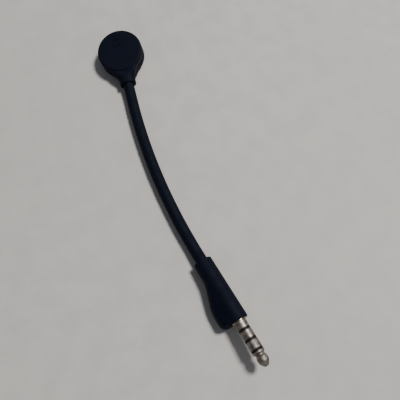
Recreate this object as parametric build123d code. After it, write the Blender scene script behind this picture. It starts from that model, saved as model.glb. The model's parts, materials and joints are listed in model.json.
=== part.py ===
"""Detachable boom microphone for a headset: puck-shaped head, bendable boom and keyed plug.

Frame, in millimetres: the origin is the centre of the jack's seat, +Z is up and +X is the way the jack
points, seen from above. The part lies on a flat surface at z = -rest_height: the plug's shell rests on its
collar and its swelling, so the jack rises a little to its tip. The boom is one flexible piece in reality.
Here it is a chain of short lengths, each ending in a ball that turns in the next one's socket.
"""
import os
from math import acos, atan2, cos, pi, radians, sin, sqrt, tan

from build123d import *

# jack: four-pole 3.5 mm plug
jack_radius = 1.75
jack_length = 12.9
sleeve_length = 1.95
band_length = 0.7
ring_length = 2.3
tip_land = 0.45
tip_neck_radius = 1.15
tip_bead_radius = 1.6
tip_nose_radius = 0.55
contact_wall = 0.2
tip_rod_radius = 0.35
tail_step = 0.8
sleeve_tail = 5.0
sleeve_tail_radius = 2.0
flange_radius = 2.2
flange_length = 1.2
flange_proud = 0.3

# plug shell: a round collar that swells to one side
collar_radius = 2.75
collar_length = 4.7
shell_length = 19.2
swell_length = 10.0
swell_offset = 3.0
swell_roll = 35.0
shell_wall = 0.75
shell_round = 0.3
plug_rise = 7.0
least_offset = 0.05
mould_clearance = 0.05
mould_length = 10.4

# boom
boom_radius = 1.75
boom_span = 54.8
boom_bow = 8.2
boom_lead = 4.0
boom_grip = 3.5
joint_count = 8
bend_limit = 20.0
rest_bend_limit = 7.5
ball_radius = 1.68
socket_clearance = 0.04
skirt_margin = 0.06
bend_wire_radius = 0.5
lead_radius = 0.27
lead_offset = 0.95

# ferrules that hold the boom's ends
ferrule_wall = 0.35
ferrule_length = 2.5
ferrule_clearance = 0.02
mouth_clearance = 0.05

# microphone head
head_radius = 7.3
head_thickness = 5.4
head_wall = 0.9
head_round = 0.6
head_pitch = 5.6
head_roll = 6.8
neck_radius = 2.6
flare_radius = 6.9
flare_thickness = 4.7
neck_corner = 2.3
neck_reach = 11.4
neck_root = 9.0
sound_hole_radius = 0.5
sound_hole_far = 4.3
sound_hole_near = 2.2
sound_hole_spread = 0.9
rib_wall = 0.55
rib_height = 0.9

# electret capsule and what holds it, stacked down from the inside of the head's face
capsule_radius = 3.0
capsule_height = 2.2
capsule_shift = 2.6
mesh_thickness = 0.12
foam_thickness = 0.6
boot_wall = 0.7
boot_lip = 0.3
boot_skirt = 0.1
can_wall = 0.2
can_port_radius = 0.8
can_crimp = 0.4
diaphragm_ring_width = 0.7
diaphragm_ring_height = 0.2
diaphragm_thickness = 0.06
spacer_thickness = 0.06
backplate_thickness = 0.4
backplate_hole_radius = 0.15
backplate_hole_circle = 1.1
cup_wall = 0.5
gate_ring_width = 0.4
gate_ring_inset = 0.2
board_thickness = 0.4
fet_size = (1.6, 1.2, 0.55)
head_lead_radius = 0.2
head_lead_pad = 0.8

FROM_BASE = (Align.CENTER, Align.CENTER, Align.MIN)

# plug frame: X along the jack, tilted up from the frame's +X
rise = radians(plug_rise)
plug_way = Vector(cos(rise), 0, sin(rise))
plug_frame = Plane(origin=(0, 0, 0), x_dir=plug_way, z_dir=(-sin(rise), 0, cos(rise)))
bulge_way = Vector(0, -cos(radians(swell_roll)), -sin(radians(swell_roll)))
shell_front = -flange_proud
shell_back = shell_front - shell_length
swell_start = shell_back + collar_length
swell_end = swell_start + swell_length
cavity_front = -flange_length
pocket_radius = boom_radius + ferrule_wall + ferrule_clearance
grip_end = shell_back + boom_grip
rest_height = -shell_back * sin(rise) + collar_radius * cos(rise)

# head frame: X along the head's own axis to its far end, Z out of its face
heading = atan2(2 * boom_bow, boom_span)
pitch = radians(head_pitch)
roll = radians(head_roll)
head_way = Vector(-cos(heading) * cos(pitch), sin(heading) * cos(pitch), sin(pitch))
level_side = Vector(0, 0, 1).cross(head_way).normalized()
upright = head_way.cross(level_side)
face_way = upright * cos(roll) + level_side * sin(roll)
side_way = face_way.cross(head_way)

# how far the head's lower edge reaches below its centre: at the rim, or at a corner of the neck's root
rim_reach = (head_radius - head_round) * sqrt(head_way.Z ** 2 + side_way.Z ** 2)
root_reach = (neck_root - head_round) * head_way.Z + (neck_radius - head_round) * abs(side_way.Z)
root_level = (head_thickness - flare_thickness) / 2 * face_way.Z
rim_drop = (head_thickness / 2 - head_round) * face_way.Z + head_round
rim_drop += max(rim_reach, root_reach - root_level)

first_joint = plug_way * (shell_back - boom_lead)
head_height = rim_drop - rest_height
last_height = head_height - (neck_reach + boom_lead) * sin(pitch)
last_joint = Vector(first_joint.X - boom_span, boom_bow, last_height)
head_centre = last_joint + head_way * (neck_reach + boom_lead)
head_frame = Plane(origin=head_centre, x_dir=head_way, z_dir=face_way)
neck_end = -neck_reach
grip_depth = -neck_reach + boom_grip


def boom_point(share):
    """Point on the resting boom between its first and last joint: a parabola in plan, straight in height."""
    height = first_joint.Z + (last_joint.Z - first_joint.Z) * share
    return Vector(first_joint.X - boom_span * share, boom_bow * share ** 2, height)


joint_points = [boom_point(k / (joint_count - 1)) for k in range(joint_count)]


def pitch_axis(k):
    """Level axis across the boom at joint k."""
    ahead = joint_points[min(k + 1, joint_count - 1)]
    behind = joint_points[max(k - 1, 0)]
    return Vector(0, 0, 1).cross(ahead - behind).normalized()


def upright_solid(x, y, bottom, top, radius, inner=0.0):
    """Disc or ring that stands along Z."""
    body = Pos(x, y, bottom) * Cylinder(radius, top - bottom, align=FROM_BASE)
    if inner:
        body -= Pos(x, y, bottom) * Cylinder(inner, top - bottom, align=FROM_BASE)
    return body


def jack_solid(start, end, radius, inner=0.0):
    """Rod or tube along the jack's axis from x = start to x = end."""
    section = Plane(origin=(start, 0, 0), x_dir=(0, 1, 0), z_dir=(1, 0, 0))
    body = section * Cylinder(radius, end - start, align=FROM_BASE)
    if inner:
        body -= section * Cylinder(inner, end - start, align=FROM_BASE)
    return body


def rod(start, end, radius):
    """Round rod between two points."""
    line = Vector(end) - Vector(start)
    return Plane(origin=start, z_dir=line) * Cylinder(radius, line.length, align=FROM_BASE)


def wire(points, radius):
    """Round wire through points, with a ball at each bend."""
    body = rod(points[0], points[1], radius)
    for corner, following in zip(points[1:], points[2:]):
        body += Pos(corner) * Sphere(radius)
        body += rod(corner, following, radius)
    return body


# ---------------------------------------------------------------- jack

band_starts = [sleeve_length + k * (band_length + ring_length) for k in range(3)]
tip_start = band_starts[2] + band_length
bores = [tip_rod_radius + k * contact_wall for k in range(6)]
tails = [-sleeve_tail - (6 - k) * tail_step for k in range(6)]


def jack_sleeve():
    body = jack_solid(0, sleeve_length, jack_radius)
    body += jack_solid(-flange_length, 0, flange_radius)
    body += jack_solid(-sleeve_tail, -flange_length, sleeve_tail_radius)
    return body - jack_solid(-sleeve_tail, sleeve_length, bores[5])


def jack_insulator(index):
    """Insulating tube with a flush band; index 0 is next to the sleeve and 2 next to the tip."""
    layer = 5 - 2 * index
    start = band_starts[index]
    body = jack_solid(tails[layer], start, bores[layer], bores[layer - 1])
    return body + jack_solid(start, start + band_length, jack_radius, bores[layer - 1])


def jack_ring(index):
    """Contact ring on its tube; index 0 is the one next to the sleeve."""
    layer = 4 - 2 * index
    start = band_starts[index] + band_length
    body = jack_solid(tails[layer], start, bores[layer], bores[layer - 1])
    return body + jack_solid(start, start + ring_length, jack_radius, bores[layer - 1])


def jack_tip():
    land_end = tip_start + tip_land
    nose_length = jack_length - land_end
    outline = Polyline(
        (tip_start, 0),
        (tip_start, jack_radius),
        (land_end, jack_radius),
        (land_end + 0.2 * nose_length, tip_neck_radius),
        (land_end + 0.46 * nose_length, tip_bead_radius),
        (land_end + 0.62 * nose_length, tip_bead_radius),
        (jack_length - tip_nose_radius / 2, tip_nose_radius),
        (jack_length, tip_nose_radius / 2),
        (jack_length, 0),
        close=True,
    )
    nose = revolve(make_face(outline), Axis.X)
    return nose + jack_solid(tails[0], tip_start, tip_rod_radius)


# ---------------------------------------------------------------- plug shell and its filling

def swell_section(x, share, radius):
    """Slot-shaped section at x, whose second centre has moved a share of the way to the bulge."""
    offset = least_offset + (swell_offset - least_offset) * share
    section = Plane(origin=(x, 0, 0), x_dir=bulge_way, z_dir=(1, 0, 0))
    return section * Pos(offset / 2, 0) * SlotCenterToCenter(offset, 2 * radius)


def swelling_body(radius, start, end):
    """Collar, swelling and full section in one solid, all with the same corner radius."""
    steps = 6
    sections = []
    for k in range(steps + 1):
        t = k / steps
        sections.append(swell_section(swell_start + t * swell_length, 3 * t ** 2 - 2 * t ** 3, radius))
    body = loft(sections)
    body += extrude(sections[0], swell_start - start, dir=(-1, 0, 0))
    return body + extrude(sections[-1], end - swell_end, dir=(1, 0, 0))


def plug_shell():
    outer = swelling_body(collar_radius, shell_back, shell_front)
    outer = fillet(outer.edges().group_by(Axis.X)[-1], shell_round)
    outer -= swelling_body(collar_radius - shell_wall, grip_end, cavity_front)
    outer -= jack_solid(cavity_front, shell_front, flange_radius + ferrule_clearance)
    outer -= jack_solid(shell_back, grip_end, boom_radius + mouth_clearance)
    return outer - jack_solid(grip_end - ferrule_length, grip_end, pocket_radius)


def shell_half(shell, keep):
    """Half of the plug shell, parted in the plane of the jack's axis and the bulge."""
    parting = Plane(origin=(0, 0, 0), x_dir=(1, 0, 0), z_dir=bulge_way.cross(Vector(1, 0, 0)))
    return split(shell, parting, keep=keep)


def plug_leads(jack):
    """Two leads from the boom to the tip's tail and to the sleeve's tail."""
    tip_lead = rod((grip_end, lead_offset, 0), (tails[0], 0, 0), lead_radius)
    start = (grip_end, -lead_offset, 0)
    sleeve_lead = rod(start, (-sleeve_tail, -bores[5] - lead_radius, 0), lead_radius)
    ahead_of_boom = jack_solid(grip_end, 0, collar_radius)
    return Compound([(tip_lead & ahead_of_boom) - jack, (sleeve_lead & ahead_of_boom) - jack])


def plug_filling(jack, leads):
    """Moulded block that holds the jack's tails and the leads inside the shell."""
    body = swelling_body(collar_radius - shell_wall - mould_clearance, grip_end, cavity_front)
    width = 6 * collar_radius
    keep = Pos(cavity_front - mould_length / 2, 0, 0) * Box(mould_length, width, width)
    return (body & keep) - jack - leads


def ferrule(place, start, length):
    """Crimped ring round the boom, from start inwards along place's Z."""
    body = Cylinder(boom_radius + ferrule_wall, length, align=FROM_BASE)
    body -= Cylinder(boom_radius, length, align=FROM_BASE)
    return place * Pos(0, 0, start) * body


# ---------------------------------------------------------------- boom

def segment_frame(k):
    """Frame of boom length k: Z along it towards the head, X across it, origin at its own joint."""
    if k == 0:
        return Plane(origin=plug_way * grip_end, x_dir=(0, 1, 0), z_dir=plug_way * -1)
    start = joint_points[k - 1]
    if k == joint_count:
        return Plane(origin=start, x_dir=head_frame.y_dir, z_dir=head_way)
    line = joint_points[k] - start
    return Plane(origin=start, x_dir=Vector(0, 0, 1).cross(line), z_dir=line)


def segment_length(k):
    if k == 0:
        return boom_grip + boom_lead
    if k == joint_count:
        return boom_lead + boom_grip
    return (joint_points[k] - joint_points[k - 1]).length


def boom_segment(k):
    """Jacket, bend wire and the two leads of boom length k, flush with each other at both ends."""
    length = segment_length(k)
    skirt = boom_radius * tan(radians(bend_limit + rest_bend_limit)) + skirt_margin
    base = skirt if k > 0 else 0.0
    solid = Pos(0, 0, base) * Cylinder(boom_radius, length - base, align=FROM_BASE)
    if k > 0:
        solid -= Sphere(ball_radius + socket_clearance)
    if k < joint_count:
        solid += Pos(0, 0, length) * Sphere(ball_radius)
    reach = length + boom_radius
    bend_wire = solid & Cylinder(bend_wire_radius, reach, align=FROM_BASE)
    first_lead = solid & (Pos(lead_offset, 0, 0) * Cylinder(lead_radius, reach, align=FROM_BASE))
    second_lead = solid & (Pos(-lead_offset, 0, 0) * Cylinder(lead_radius, reach, align=FROM_BASE))
    jacket = solid - bend_wire - first_lead - second_lead
    place = segment_frame(k).location
    return place * jacket, place * bend_wire, Compound([place * first_lead, place * second_lead])


# ---------------------------------------------------------------- head shells

face_inside = head_thickness / 2 - head_wall
mesh_bottom = face_inside - mesh_thickness
foam_bottom = mesh_bottom - foam_thickness
can_bottom = foam_bottom - capsule_height
boot_bottom = can_bottom - boot_skirt
boot_radius = capsule_radius + boot_wall
port_radius = capsule_radius - boot_lip


def head_outline(radius, neck_half):
    """Round outline drawn out by two tangents to the root of the neck."""
    reach = sqrt(neck_root ** 2 + neck_half ** 2)
    touch = pi - atan2(neck_half, neck_root) - acos(radius / reach)
    touch_x = radius * cos(touch)
    touch_y = radius * sin(touch)
    corners = [(touch_x, touch_y), (-neck_root, neck_half), (-neck_root, -neck_half), (touch_x, -touch_y)]
    return Circle(radius) + make_face(Polyline(*corners, close=True))


def eased_plate(outline, thickness):
    """Flat plate on both sides of the parting plane, with rounded edges."""
    plate = extrude(outline, thickness / 2, both=True)
    edges = plate.edges().group_by(Axis.Z)
    return fillet(edges[0] + edges[-1], head_round)


def neck_solid(start, end, radius):
    """Round rod along the head's own axis."""
    return Plane(origin=(start, 0, 0), x_dir=(0, 1, 0), z_dir=(1, 0, 0)) * Cylinder(
        radius, end - start, align=FROM_BASE
    )


def head_shell():
    """Puck and a slightly thinner flare that leads to the neck, hollow, with bores for the boom's end."""
    body = eased_plate(Circle(head_radius), head_thickness)
    body += eased_plate(head_outline(flare_radius, neck_radius), flare_thickness)
    neck_plane = Plane(origin=(neck_end, 0, 0), x_dir=(0, 1, 0), z_dir=(1, 0, 0))
    body += neck_plane * extrude(RectangleRounded(2 * neck_radius, flare_thickness, neck_corner), neck_reach)
    body -= upright_solid(0, 0, -face_inside, face_inside, head_radius - head_wall)
    body += rib() & upright_solid(0, 0, -face_inside, face_inside, head_radius - head_wall / 2)
    body -= neck_solid(neck_end, grip_depth - ferrule_length, boom_radius + mouth_clearance)
    body -= neck_solid(grip_depth - ferrule_length, grip_depth, pocket_radius)
    body -= neck_solid(grip_depth, -head_radius + 2 * head_wall, pocket_radius - ferrule_wall)
    for x, y in sound_holes():
        body -= upright_solid(x, y, face_inside, head_thickness / 2, sound_hole_radius)
    return body


def rib():
    """Ring inside the rear shell that the capsule's boot stands in."""
    bottom = -face_inside
    inner = boot_radius + ferrule_clearance
    return upright_solid(capsule_shift, 0, bottom, bottom + rib_height, inner + rib_wall, inner)


def sound_holes():
    return [
        (sound_hole_far, 0),
        (sound_hole_near, sound_hole_spread),
        (sound_hole_near, -sound_hole_spread),
    ]


# ---------------------------------------------------------------- capsule, in the head's frame

def ring_at(bottom, top, radius, inner=0.0):
    return upright_solid(capsule_shift, 0, bottom, top, radius, inner)


def capsule_parts():
    """The capsule's pieces by name, from its can down to its board."""
    bore = capsule_radius - can_wall
    face_bottom = foam_bottom - can_wall
    ring_bottom = face_bottom - diaphragm_ring_height
    film_bottom = ring_bottom - diaphragm_thickness
    spacer_bottom = film_bottom - spacer_thickness
    plate_bottom = spacer_bottom - backplate_thickness
    board_bottom = can_bottom + can_wall
    board_top = board_bottom + board_thickness
    can = ring_at(can_bottom, foam_bottom, capsule_radius, can_port_radius)
    can -= ring_at(board_bottom, face_bottom, bore)
    can -= ring_at(can_bottom, board_bottom, bore - can_crimp)
    plate = ring_at(plate_bottom, spacer_bottom, bore - cup_wall)
    for hole in PolarLocations(backplate_hole_circle, 4):
        place = Pos(capsule_shift, 0, plate_bottom) * hole
        plate -= place * Cylinder(backplate_hole_radius, backplate_thickness, align=FROM_BASE)
    gate_radius = bore - cup_wall - gate_ring_inset
    fet = Pos(capsule_shift, 0, board_top) * Box(*fet_size, align=FROM_BASE)
    return {
        "capsule_can": can,
        "diaphragm_ring": ring_at(ring_bottom, face_bottom, bore, bore - diaphragm_ring_width),
        "diaphragm": ring_at(film_bottom, ring_bottom, bore),
        "diaphragm_spacer": ring_at(spacer_bottom, film_bottom, bore, bore - cup_wall),
        "backplate": plate,
        "insulator_cup": ring_at(board_top, spacer_bottom, bore, bore - cup_wall),
        "gate_ring": ring_at(board_top, plate_bottom, gate_radius, gate_radius - gate_ring_width),
        "capsule_board": ring_at(board_bottom, board_top, bore),
        "fet_chip": fet,
    }


def head_leads():
    """Two leads from the capsule's board, under the boot, to the end of the boom."""
    leads = []
    board_bottom = can_bottom + can_wall
    level = -face_inside + 1.5 * head_lead_radius
    for side in (1, -1):
        pad = (capsule_shift - head_lead_pad, side * head_lead_pad)
        turn = (capsule_shift - boot_radius - head_lead_radius, side * head_lead_pad)
        route = [(*pad, board_bottom), (*pad, level), (*turn, level), (grip_depth, side * lead_offset, 0)]
        leads.append(wire(route, head_lead_radius))
    return Compound(leads)


def head_parts():
    """Everything in the head by name, in the head's own frame."""
    leads = head_leads()
    shell = head_shell()
    halves = {
        "head_front_shell": split(shell, Plane.XY, keep=Keep.TOP),
        "head_rear_shell": split(shell, Plane.XY, keep=Keep.BOTTOM) - leads,
    }
    boot = ring_at(boot_bottom, mesh_bottom, boot_radius, port_radius)
    boot -= ring_at(boot_bottom, foam_bottom, capsule_radius)
    holders = {
        "acoustic_mesh": ring_at(mesh_bottom, face_inside, boot_radius),
        "foam_disc": ring_at(foam_bottom, mesh_bottom, port_radius),
        "capsule_boot": boot - leads,
        "backing_pad": ring_at(-face_inside, can_bottom, capsule_radius) - leads,
    }
    return {**halves, **holders, **capsule_parts(), "head_leads": leads}


# ---------------------------------------------------------------- assembly

def plug_parts():
    """Everything in the plug by name, in the plug's own frame."""
    parts = {
        "jack_tip": jack_tip(),
        "tip_insulator": jack_insulator(2),
        "jack_ring_1": jack_ring(1),
        "ring_insulator": jack_insulator(1),
        "jack_ring_2": jack_ring(0),
        "sleeve_insulator": jack_insulator(0),
        "jack_sleeve": jack_sleeve(),
    }
    jack = list(parts.values())
    shell = plug_shell()
    leads = plug_leads(jack)
    parts["plug_shell_upper"] = shell_half(shell, Keep.TOP)
    parts["plug_shell_lower"] = shell_half(shell, Keep.BOTTOM)
    parts["plug_leads"] = leads
    parts["plug_filling"] = plug_filling(jack, leads)
    return parts


def all_parts():
    parts = {name: plug_frame.location * solid for name, solid in plug_parts().items()}
    parts["plug_ferrule"] = ferrule(segment_frame(0).location, 0, ferrule_length)
    for k in range(joint_count + 1):
        jacket, bend_wire, pair = boom_segment(k)
        parts[f"boom_jacket_{k}"] = jacket
        parts[f"boom_bend_wire_{k}"] = bend_wire
        parts[f"boom_leads_{k}"] = pair
    last = segment_frame(joint_count).location
    parts["head_ferrule"] = ferrule(last, segment_length(joint_count) - ferrule_length, ferrule_length)
    for name, solid in head_parts().items():
        parts[name] = head_frame.location * solid
    return parts


if __name__ == "__main__":
    os.makedirs("parts", exist_ok=True)
    for name, shape in all_parts().items():
        export_step(shape, f"parts/{name}.step")
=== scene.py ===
"""Detachable boom microphone for a headset, lying on a pale table top.

A four-pole jack stands in a two-part moulded plug. A bendable boom in a soft jacket runs from the
plug to a flat round head, which holds the capsule behind three sound holes. Sizes are in millimetres
until a mesh is made. The origin is the centre of the jack's seat and +X is the way the jack points,
seen from above.
"""

import json
import math

import bmesh
import bpy
import numpy as np
from mathutils import Matrix, Vector

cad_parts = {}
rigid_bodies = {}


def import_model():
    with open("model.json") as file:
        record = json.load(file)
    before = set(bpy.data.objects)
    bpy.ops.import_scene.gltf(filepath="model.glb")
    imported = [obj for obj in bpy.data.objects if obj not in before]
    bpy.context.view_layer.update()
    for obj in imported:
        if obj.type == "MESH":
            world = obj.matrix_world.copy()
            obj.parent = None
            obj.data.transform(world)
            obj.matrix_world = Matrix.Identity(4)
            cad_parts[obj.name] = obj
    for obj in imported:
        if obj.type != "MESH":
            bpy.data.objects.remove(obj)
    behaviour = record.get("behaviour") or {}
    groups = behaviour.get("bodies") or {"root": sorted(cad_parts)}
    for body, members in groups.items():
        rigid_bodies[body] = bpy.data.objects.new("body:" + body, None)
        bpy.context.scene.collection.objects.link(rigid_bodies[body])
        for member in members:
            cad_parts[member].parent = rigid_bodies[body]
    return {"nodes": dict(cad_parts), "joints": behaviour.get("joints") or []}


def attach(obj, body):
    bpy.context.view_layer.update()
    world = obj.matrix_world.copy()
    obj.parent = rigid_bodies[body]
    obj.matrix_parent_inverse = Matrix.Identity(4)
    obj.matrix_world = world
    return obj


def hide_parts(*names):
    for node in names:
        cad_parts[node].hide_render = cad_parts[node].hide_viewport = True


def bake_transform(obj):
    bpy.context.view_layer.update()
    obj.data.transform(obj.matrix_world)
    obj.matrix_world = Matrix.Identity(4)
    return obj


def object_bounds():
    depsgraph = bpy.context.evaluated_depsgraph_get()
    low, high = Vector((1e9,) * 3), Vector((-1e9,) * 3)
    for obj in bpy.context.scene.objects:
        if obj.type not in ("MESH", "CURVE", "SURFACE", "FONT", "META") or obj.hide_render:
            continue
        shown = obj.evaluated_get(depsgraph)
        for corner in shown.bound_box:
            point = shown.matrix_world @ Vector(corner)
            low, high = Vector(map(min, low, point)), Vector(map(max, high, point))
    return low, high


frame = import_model()
cad_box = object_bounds()

# ---------------------------------------------------------------- table, lamps and camera
# A matt pale table top lies a hair under the part's lowest point. A round lamp stands high behind the
# part, a faint one low beside it, the room fills the shadows, and the camera looks steeply down.
MM = 0.001
table_level = cad_box[0][2] / MM - 0.01
camera_turn = math.radians(59.15)
camera_height = math.radians(70.99)
camera_distance = 135.36
camera_lens = 40.06
lamp_distance = 900
middle = np.array([-36.49, 9.43, table_level])


def seen_from(turn, height):
    """Unit vector from the part towards a point at the given turn and height."""
    return np.array([
        math.sin(turn) * math.cos(height),
        -math.cos(turn) * math.cos(height),
        math.sin(height),
    ])


def aimed(item, place, target):
    """Stand a lamp or a camera at place, in millimetres, looking at target."""
    way = Vector(target) - Vector(place)
    turned_to = way.to_track_quat("-Z", "Y").to_matrix().to_4x4()
    item.matrix_world = Matrix.Translation(Vector(place) * MM) @ turned_to
    bpy.context.scene.collection.objects.link(item)


def lamp(name, turn, height, size, power, colour):
    """Round area lamp that faces the part from afar, at a turn and height in degrees."""
    way = seen_from(math.radians(turn), math.radians(height))
    light = bpy.data.lights.new(name, "AREA")
    light.shape = "DISK"
    light.size = size * MM
    light.energy = power
    light.color = colour
    aimed(bpy.data.objects.new(name, light), middle + lamp_distance * way, middle)


camera_data = bpy.data.cameras.new("camera")
camera_data.lens = camera_lens
camera_data.sensor_width = 36.0
camera_data.clip_start = 0.005
camera = bpy.data.objects.new("camera", camera_data)
aimed(camera, middle + camera_distance * seen_from(camera_turn, camera_height), middle)
bpy.context.scene.camera = camera

lamp("key_lamp", turn=181, height=63, size=190, power=7.9, colour=(1.0, 0.965, 0.925))
lamp("low_lamp", turn=118, height=24, size=220, power=0.45, colour=(1.0, 0.92, 0.84))

world = bpy.data.worlds.new("room")
world.use_nodes = True
room_light = world.node_tree.nodes["Background"]
room_light.inputs["Color"].default_value = (0.84, 0.90, 1.0, 1.0)
room_light.inputs["Strength"].default_value = 0.165
bpy.context.scene.world = world


def node(tree, kind, settings=None, **links):
    """New node in tree. settings are its attributes; links give its sockets values or sockets."""
    made = tree.nodes.new(kind)
    for key, value in (settings or {}).items():
        setattr(made, key, value)
    for label, value in links.items():
        wanted = label.replace("_", " ")
        socket = made.inputs[int(label[1:])] if label[1:].isdigit() else made.inputs[wanted]
        if isinstance(value, bpy.types.NodeSocket):
            tree.links.new(value, socket)
        else:
            socket.default_value = value
    return made


def noise(tree, vector, scale, detail=3.0, rough=0.55):
    """Fractal noise, from 0 to 1 about 0.5."""
    made = node(tree, "ShaderNodeTexNoise", {}, Vector=vector, Scale=scale, Detail=detail,
                Roughness=rough)
    return made.outputs["Fac"]


def remap(tree, value, low, high, to_low=0.0, to_high=1.0):
    """Value taken from low..high to to_low..to_high, smoothly, and held at the ends."""
    kind = {"interpolation_type": "SMOOTHSTEP"}
    made = node(tree, "ShaderNodeMapRange", kind, Value=value, From_Min=low, From_Max=high,
                To_Min=to_low, To_Max=to_high)
    return made.outputs["Result"]


def new_material(name):
    """Material with a Principled BSDF; gives the material, its tree and the shader."""
    made = bpy.data.materials.new(name)
    made.use_nodes = True
    return made, made.node_tree, made.node_tree.nodes["Principled BSDF"]


def blended(tree, share, first, second):
    """Colour that goes from first to second as share goes from 0 to 1."""
    kind = {"data_type": "RGBA", "clamp_factor": True}
    made = node(tree, "ShaderNodeMix", kind, Factor=share)
    for socket, value in zip((made.inputs[6], made.inputs[7]), (first, second)):
        if isinstance(value, bpy.types.NodeSocket):
            tree.links.new(value, socket)
        else:
            socket.default_value = (*value, 1.0)
    return made.outputs[2]


def bumped(tree, shader, height, depth, before=None):
    """Give a shader a bump of the given depth in millimetres, on top of the normal before."""
    made = node(tree, "ShaderNodeBump", {}, Height=height, Strength=1.0, Distance=depth * MM)
    if before is not None:
        tree.links.new(before, made.inputs["Normal"])
    tree.links.new(made.outputs["Normal"], shader.inputs["Normal"])


def smoothed(mesh, angle=32.0):
    """Shade a mesh smoothly but for the edges that turn by more than angle, in degrees."""
    mesh.shade_smooth()
    mesh.set_sharp_from_angle(angle=math.radians(angle))


def grid_mesh(name, grids, material, angle=32.0):
    """Object from grids of points in millimetres, each rows x columns x 3. The points are joined in
    quads, coincident points are merged, faces are turned outwards, and the UV map holds the
    distances in millimetres along the columns and along the rows."""
    points, faces, unrolled, offset = [], [], [], 0
    for grid in grids:
        rows, columns = grid.shape[:2]
        index = np.arange(rows * columns).reshape(rows, columns)
        corners = [index[:-1, :-1], index[1:, :-1], index[1:, 1:], index[:-1, 1:]]
        along = np.linalg.norm(np.diff(grid, axis=0), axis=2).mean(axis=1)
        across = np.linalg.norm(np.diff(grid, axis=1), axis=2).mean(axis=0)
        run = np.concatenate([[0], np.cumsum(along)])
        girth = np.concatenate([[0], np.cumsum(across)])
        flat = np.stack(np.meshgrid(run, girth, indexing="ij"), axis=2).reshape(-1, 2)
        quads = np.stack(corners, axis=2).reshape(-1, 4)
        points.append(grid.reshape(-1, 3))
        faces.append(quads + offset)
        unrolled.append(flat[quads.reshape(-1)])
        offset += rows * columns
    mesh = bpy.data.meshes.new(name)
    mesh.from_pydata(np.concatenate(points) * MM, [], np.concatenate(faces).tolist())
    unrolled = np.concatenate(unrolled).astype(np.float32).ravel()
    mesh.uv_layers.new(name="UVMap").data.foreach_set("uv", unrolled)
    work = bmesh.new()
    work.from_mesh(mesh)
    bmesh.ops.remove_doubles(work, verts=work.verts, dist=2e-7)
    bmesh.ops.recalc_face_normals(work, faces=work.faces)
    work.to_mesh(mesh)
    work.free()
    smoothed(mesh, angle)
    mesh.materials.append(material)
    made = bpy.data.objects.new(name, mesh)
    bpy.context.scene.collection.objects.link(made)
    return made


table_top, tree, shader = new_material("table_top")
place = node(tree, "ShaderNodeTexCoord").outputs["Object"]
cloud_turns, fleck_turns = 9.0, 150.0
broad = noise(tree, place, cloud_turns, 4.0)
fine = noise(tree, place, fleck_turns, 5.0, 0.6)
tone = blended(tree, remap(tree, broad, 0.35, 0.65), (0.60, 0.575, 0.555), (0.63, 0.61, 0.585))
tone = blended(tree, remap(tree, fine, 0.35, 0.7), tone, (0.57, 0.555, 0.535))
tree.links.new(tone, shader.inputs["Base Color"])
shader.inputs["Roughness"].default_value = 0.62
shader.inputs["Specular IOR Level"].default_value = 0.3
bumped(tree, shader, fine, 0.05)
table_half = 1500.0
spread = np.linspace(-table_half, table_half, 13)
table_x, table_y = np.meshgrid(spread, spread, indexing="ij")
flat = np.stack([table_x, table_y, np.full_like(table_x, table_level)], axis=2)
table = grid_mesh("table", [flat], table_top)
if table.data.polygons[0].normal.z < 0:
    table.data.flip_normals()

# ---------------------------------------------------------------- jack
# A four-pole 3.5 mm jack: nested tubes of turned brass, nickel plated, end in the contact rings, with
# moulded insulating tubes between them whose bands show. The sleeve's flange seats in the plug's
# mouth. Layer k, out from the tip's rod, fills the bore bores[k] and reaches back to tails[k].
jack_radius = 1.75
jack_length = 12.9
sleeve_tail = -5.0
sleeve_tail_radius = 2.0
flange_back = -1.2
flange_radius = 2.2
contact_ease = 0.07
tail_ease = 0.02
bores = 0.35 + 0.2 * np.arange(6)
tails = sleeve_tail - 0.8 * (6 - np.arange(6))
band_starts = 1.95 + 3.0 * np.arange(3)
band_length = 0.7
ring_length = 2.3
band_sink = 0.03
rise = math.radians(7.0)
plug_axes = np.array([
    [math.cos(rise), 0.0, math.sin(rise)],
    [0.0, 1.0, 0.0],
    [-math.sin(rise), 0.0, math.cos(rise)],
])


def math_node(tree, operation, first, second=0.0, third=0.0, clamp=False):
    """Result of a maths node on values or sockets."""
    kind = {"operation": operation, "use_clamp": clamp}
    return node(tree, "ShaderNodeMath", kind, i0=first, i1=second, i2=third).outputs[0]


def new_group(name, inputs, outputs):
    """Shader node group that takes a vector and the numbers named in inputs, and gives numbers."""
    group = bpy.data.node_groups.new(name, "ShaderNodeTree")
    sockets = group.interface
    sockets.new_socket("Vector", in_out="INPUT", socket_type="NodeSocketVector")
    for label in inputs:
        sockets.new_socket(label, in_out="INPUT", socket_type="NodeSocketFloat")
    for label in outputs:
        sockets.new_socket(label, in_out="OUTPUT", socket_type="NodeSocketFloat")
    return group, group.nodes.new("NodeGroupInput"), group.nodes.new("NodeGroupOutput")


# Mottle: clouds of tone nine times the size of the grain. Grain: the fine pebbled skin of a mould.
cloud_share = 0.11
grain_group, enter, leave = new_group("moulded_grain", ("Size",), ("Mottle", "Grain"))
per_size = math_node(grain_group, "DIVIDE", 1000.0, enter.outputs["Size"])
cloud_scale = math_node(grain_group, "MULTIPLY", per_size, cloud_share)
clouds = noise(grain_group, enter.outputs["Vector"], cloud_scale, 4.0)
pebbles = noise(grain_group, enter.outputs["Vector"], per_size, 2.0)
pits = node(grain_group, "ShaderNodeTexVoronoi", {"feature": "SMOOTH_F1"},
            Vector=enter.outputs["Vector"], Scale=per_size)
grain_group.links.new(remap(grain_group, clouds, 0.3, 0.7), leave.inputs["Mottle"])
pitted = math_node(grain_group, "MULTIPLY_ADD", pits.outputs["Distance"], 0.5, pebbles)
grain_group.links.new(pitted, leave.inputs["Grain"])

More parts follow.
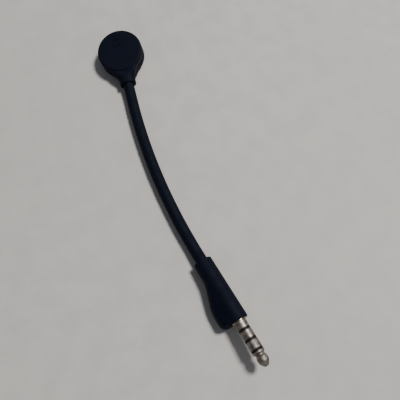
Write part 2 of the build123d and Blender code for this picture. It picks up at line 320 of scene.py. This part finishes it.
# Smudge: soft patches where fingers polish or grease it. Scratch: sparse hair lines. Dust: specks.
touch_group, enter, leave = new_group(
    "handling", ("Smudge Size", "Dust Size"), ("Smudge", "Scratch", "Dust"))
smudge_scale = math_node(touch_group, "DIVIDE", 1000.0, enter.outputs["Smudge Size"])
dust_scale = math_node(touch_group, "DIVIDE", 1000.0, enter.outputs["Dust Size"])
smudges = noise(touch_group, enter.outputs["Vector"], smudge_scale, 5.0, 0.6)
touch_group.links.new(remap(touch_group, smudges, 0.42, 0.66), leave.inputs["Smudge"])
stretched = node(touch_group, "ShaderNodeMapping", {}, Vector=enter.outputs["Vector"])
stretched.inputs["Rotation"].default_value = (0.3, 0.5, 0.7)
stretched.inputs["Scale"].default_value = (1.0, 14.0, 3.0)
lines = noise(touch_group, stretched.outputs[0], smudge_scale, 2.0, 0.7)
touch_group.links.new(remap(touch_group, lines, 0.71, 0.76), leave.inputs["Scratch"])
specks = node(touch_group, "ShaderNodeTexVoronoi", {}, Vector=enter.outputs["Vector"],
              Scale=dust_scale)
speck_places = noise(touch_group, enter.outputs["Vector"], smudge_scale, 2.0)
near_speck = remap(touch_group, specks.outputs["Distance"], 0.05, 0.16, 1.0, 0.0)
kept_speck = remap(touch_group, speck_places, 0.52, 0.68)
settled = math_node(touch_group, "MULTIPLY", near_speck, kept_speck)
touch_group.links.new(settled, leave.inputs["Dust"])


def use_group(tree, group, vector, **values):
    """Outputs of a group placed in tree with its own values."""
    return node(tree, "ShaderNodeGroup", {"node_tree": group}, Vector=vector, **values).outputs


def finish(name, colour, shade, rough, rough_change, grain=0.3, depth=0.01, metal=0.0,
           dust=0.0, scratch=0.0, specular=0.5, dust_colour=(0.30, 0.29, 0.27)):
    """Material on object coordinates: two tones in clouds, grain and scratches in relief, smudges,
    scratches and dust in the gloss, dust in the colour. Grain and depth are in millimetres."""
    made, tree, shader = new_material(name)
    place = node(tree, "ShaderNodeTexCoord").outputs["Object"]
    skin = use_group(tree, grain_group, place, Size=grain)
    touch = use_group(tree, touch_group, place, Smudge_Size=3.5, Dust_Size=0.4)
    tone = blended(tree, skin["Mottle"], colour, shade)
    dusted = math_node(tree, "MULTIPLY", touch["Dust"], dust, clamp=True)
    tree.links.new(blended(tree, dusted, tone, dust_colour), shader.inputs["Base Color"])
    scratched = math_node(tree, "MULTIPLY", touch["Scratch"], scratch)
    gloss = remap(tree, touch["Smudge"], 0.0, 1.0, rough, rough + rough_change)
    gloss = math_node(tree, "ADD", gloss, scratched)
    dulled = math_node(tree, "MULTIPLY", dusted, 0.3)
    gloss = math_node(tree, "ADD", gloss, dulled, clamp=True)
    tree.links.new(gloss, shader.inputs["Roughness"])
    shader.inputs["Metallic"].default_value = metal
    shader.inputs["Specular IOR Level"].default_value = specular
    bumped(tree, shader, math_node(tree, "SUBTRACT", skin["Grain"], scratched), depth)
    return made


def eased(corners, steps=6):
    """Closed outline with its corners rounded. A corner is (x, r, reach): the line leaves its side
    reach before the corner, or 0.45 of the shorter side, and joins the next side as far after it,
    on a quadratic curve that the corner pulls."""
    corners = np.asarray(corners, float)
    tops = corners[:, :2]
    sides = np.roll(tops, -1, axis=0) - tops
    lengths = np.linalg.norm(sides, axis=1)
    cut = np.minimum(corners[:, 2], 0.45 * np.minimum(lengths, np.roll(lengths, 1)))[:, None]
    unit = sides / np.maximum(lengths, 1e-9)[:, None]
    before = tops - np.roll(unit, 1, axis=0) * cut
    after = tops + unit * cut
    t = np.linspace(0.0, 1.0, steps)[None, :, None]
    pulls = (1 - t) ** 2, 2 * t * (1 - t), t ** 2
    bend = pulls[0] * before[:, None] + pulls[1] * tops[:, None] + pulls[2] * after[:, None]
    line = bend.reshape(-1, 2)
    keep = np.linalg.norm(line - np.roll(line, 1, axis=0), axis=1) > 1e-6
    line = line[keep]
    return np.concatenate([line, line[:1]])


def turned(outline, axis=0, start=0.0, stop=360.0, steps=96):
    """Surface of revolution: each outline point (a, r) goes round the axis at height a and radius r,
    from start to stop in degrees. A part turn is closed at both ends by a fan to the middle of the
    outline."""
    angle = np.radians(np.linspace(start, stop, steps + 1))[None, :]
    height = outline[:, :1] + 0.0 * angle
    radius = outline[:, 1:2]
    grid = np.stack([height, radius * np.cos(angle), radius * np.sin(angle)], axis=2)
    if stop - start < 360.0:
        first, last = grid[:, :1].mean(axis=0)[None], grid[:, -1:].mean(axis=0)[None]
        rows = len(outline)
        grid = np.concatenate([np.repeat(first, rows, 0), grid, np.repeat(last, rows, 0)], axis=1)
    return np.roll(grid, axis, axis=2)


def in_plug(points):
    """Points from the plug's own frame, X along the jack, to the part's."""
    return points @ plug_axes


def stepped(tail, inner, outer, start, length, radius, ease):
    """Outline of a tube from tail to start that ends in a wider ring of the given length."""
    return [
        (tail, inner, tail_ease), (tail, outer, tail_ease), (start, outer, 0.0),
        (start, radius, ease), (start + length, radius, ease), (start + length, inner, tail_ease),
    ]


# The nickel's dark brown second tone, laid in random clouds, is painted reflection of warm dim
# surroundings.
nickel = finish("nickel_plate", (0.35, 0.33, 0.31), (0.15, 0.115, 0.088), 0.44, 0.16,
                grain=0.12, depth=0.0012, metal=1.0, scratch=0.25, dust=0.15)
lathe_lines = 26.0
tree = nickel.node_tree
shader = tree.nodes["Principled BSDF"]
unrolled = node(tree, "ShaderNodeTexCoord").outputs["UV"]
along = node(tree, "ShaderNodeSeparateXYZ", {}, Vector=unrolled).outputs["X"]
along = math_node(tree, "MULTIPLY", along, lathe_lines)
lathe = noise(tree, node(tree, "ShaderNodeCombineXYZ", {}, X=along).outputs[0], 1.0, 3.0)
bumped(tree, shader, lathe, 0.004, shader.inputs["Normal"].links[0].from_socket)
warm = finish("flange_plate", (0.46, 0.38, 0.27), (0.32, 0.25, 0.16), 0.20, 0.12,
              grain=0.1, depth=0.001, metal=1.0, scratch=0.2, dust=0.2)
band_plastic = finish("band_plastic", (0.006, 0.0055, 0.0055), (0.009, 0.008, 0.008), 0.50, 0.12,
                      grain=0.15, depth=0.003, dust=0.3, specular=0.25)

sleeve = eased([
    (sleeve_tail, bores[5], tail_ease), (sleeve_tail, sleeve_tail_radius, 0.1),
    (flange_back, sleeve_tail_radius, 0.0), (flange_back, flange_radius, 0.05),
    (0.0, flange_radius, 0.22), (0.0, jack_radius, 0.03),
    (band_starts[0], jack_radius, contact_ease), (band_starts[0], bores[5], tail_ease),
])
jack_sleeve = grid_mesh("jack_sleeve_turned", [in_plug(turned(sleeve))], nickel)
jack_sleeve.data.materials.append(warm)
centres = np.array([face.center for face in jack_sleeve.data.polygons]) / MM @ plug_axes.T
on_flange = (centres[:, 0] < 0.02) & (centres[:, 0] > flange_back - 0.1)
jack_sleeve.data.polygons.foreach_set("material_index", on_flange.astype(np.int32))
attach(jack_sleeve, "plug")
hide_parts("jack_sleeve")
for index, name in enumerate(("sleeve_insulator", "ring_insulator", "tip_insulator")):
    layer = 5 - 2 * index
    outline = stepped(tails[layer], bores[layer - 1], bores[layer], band_starts[index],
                      band_length, jack_radius - band_sink, tail_ease)
    band = grid_mesh(name + "_moulded", [in_plug(turned(eased(outline)))], band_plastic)
    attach(band, "plug")
    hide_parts(name)
for index, name in enumerate(("jack_ring_2", "jack_ring_1")):
    layer = 4 - 2 * index
    outline = stepped(tails[layer], bores[layer - 1], bores[layer],
                      band_starts[index] + band_length, ring_length, jack_radius, contact_ease)
    ring = grid_mesh(name + "_turned", [in_plug(turned(eased(outline)))], nickel)
    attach(ring, "plug")
    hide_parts(name)
tip_start = band_starts[2] + band_length
neck, bead_start, bead_end, nose = 9.62, 10.35, 11.45, 12.5
neck_radius, bead_radius, nose_radius, point_radius = 1.22, 1.56, 0.92, 0.5
tip = eased([
    (tails[0], 0.0, 0.0), (tails[0], bores[0], 0.05), (tip_start, bores[0], 0.0),
    (tip_start, jack_radius, 0.06), (tip_start + 0.45, jack_radius, 0.10),
    (neck, neck_radius, 0.25), (bead_start, bead_radius, 0.35), (bead_end, bead_radius, 0.5),
    (nose, nose_radius, 0.4), (jack_length, point_radius, 0.25), (jack_length, 0.0, 0.0),
])
jack_tip = grid_mesh("jack_tip_turned", [in_plug(turned(tip))], nickel)
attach(jack_tip, "plug")
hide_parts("jack_tip")

# ---------------------------------------------------------------- plug shell
# Two mouldings of black ABS with a fine matt skin, glued along the plane of the jack and the bulge. A
# round collar holds the boom. Towards the jack it swells to one side, which keys it in its socket.
shell_front = -0.3
shell_back = -19.5
collar_radius = 2.75
swell_start = -14.8
swell_length = 10.0
swell_offset = 3.0
least_offset = 0.05
shell_wall = 0.75
boom_grip = 3.5
grip_end = shell_back + boom_grip
bulge_turn = math.radians(35.0)
front_round = 0.3
bulge_round = 1.7
back_round = 0.18
seam_depth = 0.05
seam_reach = 0.10
parting_gap = 0.004
jack_mouth = 2.26
jack_bore = 2.22
ferrule_pocket = 2.12
ferrule_length = 2.5
boom_mouth = 1.80
mouth_chamfer = 0.12
cavity_rows = 40


def plug_profile(front):
    """Closed outlines of the shell's wall as (x, radius, share of the bulge), one for each value of
    front, the rounding of the front edge; also how many of their rows lie on the outside. They run
    from the back's rounded edge along the side to the front's, then back through the inside."""
    quarter = np.radians(np.linspace(0, 90, 11))[:, None]
    level = 0.0 * front[None, :]
    back = (shell_back + back_round * (1 - np.sin(quarter[::-1])) + level,
            collar_radius - back_round * (1 - np.cos(quarter[::-1])) + level)
    reach = np.linspace(0, 1, 60)[1:-1, None]
    rear = shell_back + back_round
    side = (rear + reach * (shell_front - front[None, :] - rear), collar_radius + 0 * reach + level)
    nose = (shell_front - front * (1 - np.sin(quarter)), collar_radius - front * (1 - np.cos(quarter)))
    parts = (back, side, nose)
    outside = np.stack([np.concatenate([part[k] for part in parts]) for k in (0, 1)], axis=2)
    outer = np.concatenate([outside, np.ones_like(outside[..., :1])], axis=2)
    opening = np.array([
        (shell_front, jack_mouth, 0.0), (shell_front - (jack_mouth - jack_bore), jack_bore, 0.0),
        (flange_back, jack_bore, 0.0),
    ])
    cavity = np.stack([
        np.linspace(flange_back, grip_end, cavity_rows),
        np.full(cavity_rows, collar_radius - shell_wall),
        np.ones(cavity_rows),
    ], axis=1)
    pocket_end = grip_end - ferrule_length
    bores_back = np.array([
        (grip_end, ferrule_pocket, 0.0), (pocket_end, ferrule_pocket, 0.0),
        (pocket_end, boom_mouth, 0.0), (shell_back + mouth_chamfer, boom_mouth, 0.0),
        (shell_back, boom_mouth + mouth_chamfer, 0.0),
    ])
    inside = np.concatenate([opening, cavity, bores_back])[:, None, :] + level[0][None, :, None]
    line = np.concatenate([outer, inside])
    return np.concatenate([line, line[:1]]), len(outer)


def plug_half(side):
    """Half of the shell: a profile point goes from the seam opposite the bulge, over a quarter circle
    round the jack's axis, along a straight run as long as the bulge's offset there, and down a
    quarter circle to the bulge's seam. The offset eases from nearly nothing to full along the
    swelling, and the front edge's rounding grows from the jack's side to the bulge's. The open seam
    face is closed by close_seam."""
    arc = np.radians(np.linspace(180, 90, 25))
    run = np.linspace(0, 1, 8)[1:-1]
    theta = np.concatenate([arc, np.full(len(run), math.pi / 2), math.pi - arc[::-1]])
    centre = np.concatenate([np.zeros(len(arc)), run, np.ones(len(arc))])
    profile, outer = plug_profile(front_round + (bulge_round - front_round) * centre * centre)
    x, radius, share = profile[..., 0], profile[..., 1], profile[..., 2]
    t = np.clip((x - swell_start) / swell_length, 0, 1)
    offset = share * (least_offset + (swell_offset - least_offset) * t * t * (3 - 2 * t))
    row = np.arange(len(profile))
    outside = ((row < outer) | (row == len(profile) - 1))[:, None]
    to_seam = radius * np.sin(theta)[None, :]
    groove = outside * seam_depth * np.clip(1 - to_seam / seam_reach, 0, 1)
    bulge = offset * centre[None, :] + (radius - groove) * np.cos(theta)[None, :]
    from_seam = side * ((radius - groove) * np.sin(theta)[None, :] + parting_gap)
    ahead = np.array([1.0, 0, 0])
    toward = np.array([0.0, -math.cos(bulge_turn), -math.sin(bulge_turn)])
    away = np.array([0.0, -math.sin(bulge_turn), math.cos(bulge_turn)])
    return x[..., None] * ahead + bulge[..., None] * toward + from_seam[..., None] * away


def close_seam(mesh):
    """Close the seam face that a half is open at, and turn the faces outwards."""
    work = bmesh.new()
    work.from_mesh(mesh)
    rim = [edge for edge in work.edges if edge.is_boundary]
    made = bmesh.ops.holes_fill(work, edges=rim)["faces"]
    bmesh.ops.triangulate(work, faces=made)
    bmesh.ops.recalc_face_normals(work, faces=work.faces)
    work.to_mesh(mesh)
    work.free()
    smoothed(mesh)


dark_dust = (0.10, 0.10, 0.095)
shell_black = finish("shell_black", (0.0020, 0.0036, 0.0115), (0.0027, 0.0046, 0.0135), 0.64, 0.08,
                     grain=0.22, depth=0.010, dust=0.25, scratch=0.12, specular=0.11,
                     dust_colour=dark_dust)
for name, side in (("plug_shell_upper", 1), ("plug_shell_lower", -1)):
    half = grid_mesh(name + "_moulded", [in_plug(plug_half(side))], shell_black)
    close_seam(half.data)
    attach(half, "plug")
    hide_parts(name)

# ---------------------------------------------------------------- inside the plug
# The jack's tails stand in a block of moulded grey nylon. Two thin insulated leads run back from it,
# and a crimped brass ferrule grips the boom's end. All of these are hidden by the shell.


def dress(material, *names):
    """Give nodes of the frame a finish."""
    for name in names:
        slots = frame["nodes"][name].data.materials
        slots.clear()
        slots.append(material)


nylon = finish("filling_nylon", (0.045, 0.046, 0.050), (0.060, 0.060, 0.062), 0.48, 0.12,
               grain=0.4, depth=0.015)
lead_skin = finish("lead_insulation", (0.35, 0.022, 0.016), (0.29, 0.016, 0.012), 0.36, 0.14,
                   grain=0.25, depth=0.006)
brass = finish("ferrule_brass", (0.62, 0.43, 0.17), (0.48, 0.31, 0.12), 0.24, 0.18,
               grain=0.15, depth=0.003, metal=1.0, scratch=0.3)
dress(nylon, "plug_filling")
dress(lead_skin, "plug_leads", "head_leads")
dress(brass, "plug_ferrule", "head_ferrule")

# ---------------------------------------------------------------- boom
# One soft black jacket over a bend wire that keeps its shape and two insulated leads. It is cut
# between the joints into one piece over each joint; the cuts meet on the same circle.
boom_radius = 1.75
jacket_bore = 1.32
bend_wire_radius = 0.5
lead_radius = 0.27
lead_offset = 0.95
head_pitch = math.radians(5.6)
head_roll = math.radians(6.8)
boom_span = 54.8
boom_bow = 8.2
heading = math.atan2(2 * boom_bow, boom_span)
head_reach = 15.4
neck_reach = 11.4
straight_end = 1.0
chain = ["plug"] + [f"boom_length_{k}" for k in range(1, 8)] + ["head"]
pivots = {joint["parent"]: joint["pos_m"] for joint in frame["joints"]}
joint_places = np.array([pivots[body] for body in chain[:-1]]) / MM

head_way = np.array([
    -math.cos(heading) * math.cos(head_pitch),
    math.sin(heading) * math.cos(head_pitch),
    math.sin(head_pitch),
])
level_side = np.cross((0, 0, 1), head_way)
level_side /= np.linalg.norm(level_side)
upright = np.cross(head_way, level_side)
face_way = upright * math.cos(head_roll) + level_side * math.sin(head_roll)
head_axes = np.array([head_way, np.cross(face_way, head_way), face_way])
head_centre = joint_places[-1] + head_way * head_reach

boom_start = plug_axes[0] * grip_end
boom_leave = plug_axes[0] * (shell_back - straight_end)
boom_enter = head_centre - head_way * (neck_reach + straight_end)
boom_end = head_centre - head_way * (neck_reach - boom_grip)
knots = np.concatenate([[boom_start, boom_leave], joint_places, [boom_enter, boom_end]])
knot_ways = np.gradient(knots, axis=0)
knot_ways[[0, 1]] = -plug_axes[0]
knot_ways[[-2, -1]] = head_way
knot_ways /= np.linalg.norm(knot_ways, axis=1)[:, None]
spans = np.linalg.norm(np.diff(knots, axis=0), axis=1)


def boom_line(place):
    """Points and two cross directions of the boom's middle at place, where 0 is the first knot, 1 the
    next and so on: cubic Hermite curves through the knots. The cross directions keep level and take
    up the head's roll over the stretch after the last joint but one."""
    index = np.clip(place.astype(int), 0, len(spans) - 1)
    t = (place - index)[:, None]
    span = spans[index][:, None]
    p, q = knots[index], knots[index + 1]
    a, b = knot_ways[index] * span, knot_ways[index + 1] * span
    point = (2 * t**3 - 3 * t**2 + 1) * p + (3 * t**2 - 2 * t**3) * q
    point += (t**3 - 2 * t**2 + t) * a + (t**3 - t**2) * b
    way = (6 * t**2 - 6 * t) * (p - q) + (3 * t**2 - 4 * t + 1) * a + (3 * t**2 - 2 * t) * b
    way /= np.linalg.norm(way, axis=1)[:, None]
    level = np.cross((0, 0, 1), way)
    level /= np.linalg.norm(level, axis=1)[:, None]
    up = np.cross(way, level)
    turn = np.clip(place - (len(knots) - 4), 0, 1)[:, None]
    turn = head_roll * turn * turn * (3 - 2 * turn)
    cosine, sine = np.cos(turn), np.sin(turn)
    return point, level * cosine - up * sine, up * cosine + level * sine


def sleeve_along(start, stop, outer, inner=0.0, beside=0.0, steps=28, sides=40):
    """Tube, or rod where inner is 0, carried along the boom from start to stop, beside its middle.
    Its wall is one closed outline: out along the outer radius and back along the inner one."""
    place = np.linspace(start, stop, steps)
    back = place[::-1] if inner else place[[-1, 0]]
    place_loop = np.concatenate([place, back, place[:1]])
    radii = np.concatenate([np.full(steps, outer), np.full(len(back), inner), [outer]])
    point, level, up = boom_line(place_loop)
    angle = np.linspace(0, 2 * math.pi, sides + 1)[None, :, None]
    ring = level[:, None] * np.cos(angle) + up[:, None] * np.sin(angle)
    ring *= radii[:, None, None]
    return (point + beside * level)[:, None] + ring


jacket_black = finish("boom_jacket", (0.0020, 0.0042, 0.0118), (0.0028, 0.0052, 0.0136), 0.66, 0.10,
                      grain=0.16, depth=0.006, dust=0.4, scratch=0.1, specular=0.11,
                      dust_colour=dark_dust)
wire_steel = finish("bend_wire", (0.30, 0.29, 0.28), (0.22, 0.21, 0.20), 0.38, 0.15,
                    grain=0.2, depth=0.003, metal=1.0)


def boom_layers(start, stop, name, nodes):
    """Jacket, bend wire and leads of one stretch of the boom, in place of the frame's nodes of it."""
    jacket = sleeve_along(start, stop, boom_radius, jacket_bore, sides=64)
    wire = sleeve_along(start, stop, bend_wire_radius, sides=20)
    leads = [sleeve_along(start, stop, lead_radius, beside=offset, sides=14)
             for offset in (lead_offset, -lead_offset)]
    layers = (
        ("jacket", jacket_black, "boom_jacket", [jacket]),
        ("bend_wire", wire_steel, "bend_wire", [wire]),
        ("leads", lead_skin, "lead_insulation", leads),
    )
    made = []
    for layer, material, slot, grids in layers:
        piece = grid_mesh(f"{layer}_{name}", grids, material, angle=40.0)
        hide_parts(*[f"boom_{layer}_{k}" for k in nodes])
        made.append(piece)
    return made


plug_exit, neck_entry, last_knot = 1.0, len(knots) - 2.0, len(knots) - 1.0
for piece in boom_layers(0.0, plug_exit, "at_plug", [0]):
    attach(piece, "plug")
for k in range(8):
    start = plug_exit if k == 0 else k + 1.5
    stop = neck_entry if k == 7 else k + 2.5
    ends = boom_line(np.array([start, stop]))[0] * MM
    for piece in boom_layers(start, stop, f"over_joint_{k + 1}", [k + 1]):
        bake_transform(piece)
for piece in boom_layers(neck_entry, last_knot, "at_head", [8]):
    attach(piece, "head")

# ---------------------------------------------------------------- head shells
# Front and rear mouldings of the same black ABS, parted half way: a round puck, and a slightly thinner
# flare drawn out to a short neck. The face has three sound holes; the rear has a low ring that
# centres the capsule.
head_radius = 7.3
half_thick = 2.7
flare_radius = 6.9
flare_half_thick = 2.35
edge_round = 0.6
neck_half_width = 2.6
neck_corner = 2.3
neck_root = 9.0
root_ease = 1.3
rounding_start = -7.6
rounding_run = 2.4
cavity_radius = 6.4
cavity_height = 1.8
boom_bore = 1.77
bore_start, bore_end = -12.0, -5.5
pocket_start, pocket_end = -10.4, -7.9
capsule_shift = 2.6
rib_inner, rib_outer = 3.72, 4.27
rib_base, rib_top = -1.95, -0.9
hole_radius = 0.5
hole_chamfer = 0.1
sound_holes = ((4.3, 0.0), (2.2, 0.9), (2.2, -0.9))


def in_head(points):
    """Points from the head's own frame, X away from the boom and Z out of the face, to the part's."""
    return head_centre + points @ head_axes


def flare_outline():
    """Half outline, Y positive, from the far end round to the neck's end: a circle inside the puck,
    its tangent to the neck's root, and the neck's side, with the corner between those two rounded."""
    reach = math.hypot(neck_root, neck_half_width)
    touch = math.pi - math.atan2(neck_half_width, neck_root) - math.acos(flare_radius / reach)
    arc = np.linspace(0.0, touch, 60)
    circle = np.stack([np.cos(arc), np.sin(arc)], axis=1) * flare_radius
    root = np.array([-neck_root, neck_half_width])
    slope = (circle[-1] - root) / np.linalg.norm(circle[-1] - root)
    before, after = root + slope * root_ease, root + np.array([-root_ease, 0.0])
    t = np.linspace(0, 1, 18)[:, None]
    bend = (1 - t) ** 2 * before + 2 * t * (1 - t) * root + t ** 2 * after
    line = circle[-1] + (before - circle[-1]) * np.linspace(0, 1, 10)[1:-1, None]
    neck_end = np.array([-neck_reach, neck_half_width])
    side = after + (neck_end - after) * np.linspace(0, 1, 8)[1:, None]
    return np.concatenate([circle, line, bend, side])


def flare_half(side):
    """Solid half of the flare and neck. Each station on the outline has a closed cross line: up the
    side wall from the seam, over a rounded edge, straight across, down the other side the same way,
    and back along the seam. The rounding grows from the flare's small one to the neck's large one."""
    rim = flare_outline()
    way = np.gradient(rim, axis=0)
    way /= np.linalg.norm(way, axis=1)[:, None]
    way[0] = (0.0, 1.0)
    inward = np.stack([-way[:, 1], way[:, 0]], axis=1)
    to_neck = np.clip((rounding_start - rim[:, 0]) / rounding_run, 0, 1)
    to_neck = to_neck * to_neck * (3 - 2 * to_neck)
    rounding = edge_round + (neck_corner - edge_round) * to_neck
    flank = flare_half_thick - rounding
    alpha = np.radians(np.linspace(0, 90, 14))[None, :]
    edge_in = rounding[:, None] * (1 - np.cos(alpha))
    edge_up = flank[:, None] + rounding[:, None] * np.sin(alpha)
    chamfer_in = np.stack([seam_depth + 0 * rounding, 0 * rounding], axis=1)
    chamfer_up = np.stack([0 * flank, np.minimum(seam_reach, 0.5 * flank)], axis=1)
    inset = np.concatenate([chamfer_in, edge_in], axis=1)
    level = np.concatenate([chamfer_up, edge_up], axis=1)
    right = rim[:, None] + inward[:, None] * inset[..., None]
    right = np.concatenate([right, level[..., None]], axis=2)
    left = right[:, ::-1] * np.array([1.0, -1.0, 1.0])
    share = np.linspace(0, 1, 14)[1:-1][None, :, None]
    over = right[:, -1:] * (1 - share) + left[:, :1] * share
    under = left[:, -1:] * (1 - share) + right[:, :1] * share
    loop = np.concatenate([right, over, left, under, right[:, :1]], axis=1)
    neck_middle = np.array([-neck_reach, 0.0, 1.0]) + 0.0 * loop[-1:]
    return np.concatenate([loop, neck_middle]) * np.array([1.0, 1.0, side])


def puck_half(side):
    """Solid half of the puck: the outline of a disc with a rounded edge and a fine chamfer at the
    seam, turned about Z."""
    alpha = np.radians(np.linspace(0, 90, 14))
    rounded = np.stack([
        half_thick - edge_round + edge_round * np.sin(alpha),
        head_radius - edge_round + edge_round * np.cos(alpha),
    ], axis=1)
    rings = np.linspace(head_radius - edge_round, 0.0, 8)[1:]
    flat = np.stack([np.full(7, half_thick), rings], axis=1)
    start = np.array([(0.0, 0.0), (0.0, head_radius - seam_depth), (seam_reach, head_radius)])
    outline = np.concatenate([start, rounded, flat])
    outline[:, 0] *= side
    return turned(outline, axis=2, steps=192)


def carve(body, *steps):
    """Join closed meshes to body, or cut them out of it, step by step, and keep only the result.
    Each step is an operation and the objects it takes."""
    for operation, others in steps:
        for other in others:
            step = body.modifiers.new(operation.lower(), "BOOLEAN")
            step.operation = operation
            step.solver = "EXACT"
            step.object = other
    bpy.context.view_layer.update()
    graph = bpy.context.evaluated_depsgraph_get()
    made = bpy.data.meshes.new_from_object(body.evaluated_get(graph))
    body.modifiers.clear()
    old = body.data
    body.data = made
    bpy.data.meshes.remove(old)
    for operation, others in steps:
        for other in others:
            bpy.data.objects.remove(other)
    smoothed(made)


def disc_at(x, y, outline, **turn):
    """Turned piece that stands along the face's direction at x, y in the head."""
    return in_head(turned(eased(outline), axis=2, **turn) + np.array([x, y, 0.0]))


for name, side in (("head_front_shell", 1), ("head_rear_shell", -1)):
    half = grid_mesh(name + "_moulded", [in_head(puck_half(side))], shell_black)
    flare = grid_mesh("flare", [in_head(flare_half(side))], shell_black)
    low, high = sorted((-side * 1.0, side * cavity_height))
    cavity = [(low, 0, 0), (low, cavity_radius, 0), (high, cavity_radius, 0), (high, 0, 0)]
    bore = [
        (bore_start, 0, 0), (bore_start, boom_mouth, 0), (pocket_start, boom_mouth, 0),
        (pocket_start, ferrule_pocket, 0), (pocket_end, ferrule_pocket, 0),
        (pocket_end, boom_bore, 0), (bore_end, boom_bore, 0), (bore_end, 0, 0),
    ]
    cutters = [
        grid_mesh("cavity", [disc_at(0, 0, cavity)], shell_black),
        grid_mesh("bore", [in_head(turned(eased(bore)))], shell_black),
    ]
    joined = []
    if side > 0:
        rim, past = half_thick + 0.02, half_thick + 0.2
        hole = [
            (1.2, 0, 0), (1.2, hole_radius, 0), (rim - hole_chamfer, hole_radius, 0),
            (rim, hole_radius + hole_chamfer, 0), (past, hole_radius + hole_chamfer, 0), (past, 0, 0),
        ]
        for x, y in sound_holes:
            cutters.append(grid_mesh(f"hole_{x}_{y}", [disc_at(x, y, hole, steps=40)], shell_black))
    else:
        rib = [(rib_base, rib_inner, 0), (rib_base, rib_outer, 0), (rib_top, rib_outer, 0.08),
               (rib_top, rib_inner, 0.08)]
        ring = disc_at(capsule_shift, 0, rib, start=-160.0, stop=160.0)
        joined = [grid_mesh("rib", [ring], shell_black)]
    carve(half, ("UNION", [flare]), ("DIFFERENCE", cutters), ("UNION", joined))
    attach(half, "head")
    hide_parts(name)

# ---------------------------------------------------------------- capsule and what holds it
# Behind the holes lie a woven mesh and a foam disc. Under them an electret capsule in an aluminium can
# stands in a rubber boot on a foam pad: film on a brass ring, spacer, backplate, cup, gate ring, board.
thread_turns = 21000.0
pore_scale = 3200.0
mesh_cloth, tree, shader = new_material("acoustic_mesh")
place = node(tree, "ShaderNodeTexCoord").outputs["Object"]
turn_flat = node(tree, "ShaderNodeMapping", {}, Vector=place)
turn_flat.inputs["Rotation"].default_value = (0.0, 0.0, heading)
split = node(tree, "ShaderNodeSeparateXYZ", {}, Vector=turn_flat.outputs[0])
waves = [
    math_node(tree, "SINE", math_node(tree, "MULTIPLY", split.outputs[k], thread_turns))
    for k in ("X", "Y")
]
weave = math_node(tree, "MAXIMUM", *[math_node(tree, "ABSOLUTE", wave) for wave in waves])
tone = blended(tree, weave, (0.002, 0.002, 0.003), (0.022, 0.022, 0.024))
tree.links.new(tone, shader.inputs["Base Color"])
tree.links.new(remap(tree, noise(tree, place, 900.0), 0.3, 0.7, 0.45, 0.7), shader.inputs["Roughness"])
bumped(tree, shader, weave, 0.03)
dress(mesh_cloth, "acoustic_mesh")

foam, tree, shader = new_material("open_foam")
place = node(tree, "ShaderNodeTexCoord").outputs["Object"]
pores = node(tree, "ShaderNodeTexVoronoi", {}, Vector=place, Scale=pore_scale).outputs["Distance"]
tone = blended(tree, remap(tree, pores, 0.1, 0.6), (0.006, 0.006, 0.007), (0.05, 0.05, 0.053))
tree.links.new(tone, shader.inputs["Base Color"])
tree.links.new(remap(tree, noise(tree, place, 500.0), 0.3, 0.7, 0.8, 0.95), shader.inputs["Roughness"])
bumped(tree, shader, pores, 0.12)
dress(foam, "foam_disc", "backing_pad")

rubber = finish("boot_rubber", (0.012, 0.012, 0.013), (0.020, 0.019, 0.019), 0.62, 0.14,
                grain=0.2, depth=0.01, dust=0.4)
can_metal = finish("capsule_can", (0.66, 0.66, 0.66), (0.55, 0.55, 0.56), 0.26, 0.14,
                   grain=0.14, depth=0.003, metal=1.0, scratch=0.35)
film = finish("diaphragm_film", (0.74, 0.70, 0.60), (0.66, 0.61, 0.50), 0.10, 0.08,
              grain=0.5, depth=0.002, metal=1.0)
capsule_brass = finish("capsule_brass", (0.58, 0.42, 0.19), (0.50, 0.35, 0.14), 0.22, 0.12,
                       grain=0.12, depth=0.002, metal=1.0)
capsule_plastic = finish("capsule_plastic", (0.32, 0.31, 0.28), (0.27, 0.26, 0.24), 0.42, 0.10,
                         grain=0.2, depth=0.004)
board_green = finish("capsule_board", (0.012, 0.085, 0.030), (0.018, 0.105, 0.040), 0.30, 0.12,
                     grain=0.25, depth=0.005)
chip_black = finish("fet_chip", (0.010, 0.010, 0.011), (0.016, 0.016, 0.017), 0.46, 0.10,
                    grain=0.1, depth=0.004)
dress(rubber, "capsule_boot")
dress(can_metal, "capsule_can")
dress(film, "diaphragm")
dress(capsule_brass, "diaphragm_ring", "backplate", "gate_ring")
dress(capsule_plastic, "diaphragm_spacer", "insulator_cup")
dress(board_green, "capsule_board")
dress(chip_black, "fet_chip")
